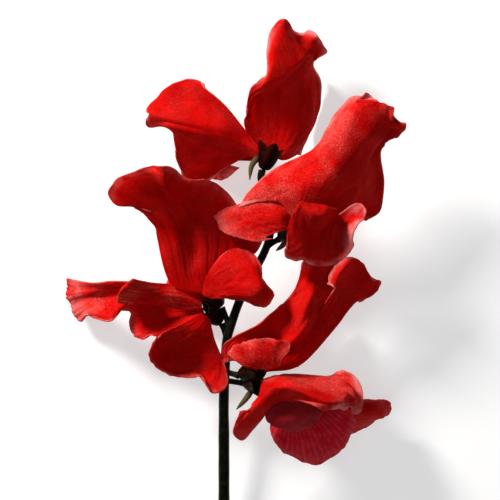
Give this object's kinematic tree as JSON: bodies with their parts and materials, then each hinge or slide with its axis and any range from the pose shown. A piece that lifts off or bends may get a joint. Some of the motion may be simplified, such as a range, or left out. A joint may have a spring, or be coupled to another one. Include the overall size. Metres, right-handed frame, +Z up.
{
  "type": "sweet pea flower spray",
  "caption": "Cut spray of a climbing pea that lies on a surface: a bare green stem with waved bright red blooms, each with a standard, wings, a keel and a toothed calyx.",
  "frame": {"origin": "middle of the lying spray on the surface it rests on", "axes": "+Y from the cut end of the stem towards the uppermost bloom, +Z up from the surface, +X to the right seen from above"},
  "size_m": [0.085, 0.1493, 0.0295],
  "materials": {
    "petal_red": "velvety, lit petals scarlet with a pink sheen",
    "keel_red": "matt, duller pinkish red",
    "stem_green": "satin, very dark green",
    "calyx_green": "matt, dark olive green"
  },
  "bodies": {
    "root": {"stem": "stem_green", "top_standard": "petal_red", "top_wing_near": "petal_red", "top_wing_far": "petal_red", "top_keel": "keel_red", "top_calyx": "calyx_green", "upper_right_standard": "petal_red", "upper_right_wing_near": "petal_red", "upper_right_wing_far": "petal_red", "upper_right_keel": "keel_red", "upper_right_calyx": "calyx_green", "upper_left_standard": "petal_red", "upper_left_wing_near": "petal_red", "upper_left_wing_far": "petal_red", "upper_left_keel": "keel_red", "upper_left_calyx": "calyx_green", "lower_left_standard": "petal_red", "lower_left_wing_near": "petal_red", "lower_left_wing_far": "petal_red", "lower_left_keel": "keel_red", "lower_left_calyx": "calyx_green", "lower_right_standard": "petal_red", "lower_right_wing_near": "petal_red", "lower_right_wing_far": "petal_red", "lower_right_keel": "keel_red", "lower_right_calyx": "calyx_green", "bottom_standard": "petal_red", "bottom_wing_near": "petal_red", "bottom_wing_far": "petal_red", "bottom_keel": "keel_red", "bottom_calyx": "calyx_green"}
  },
  "joints": []
}
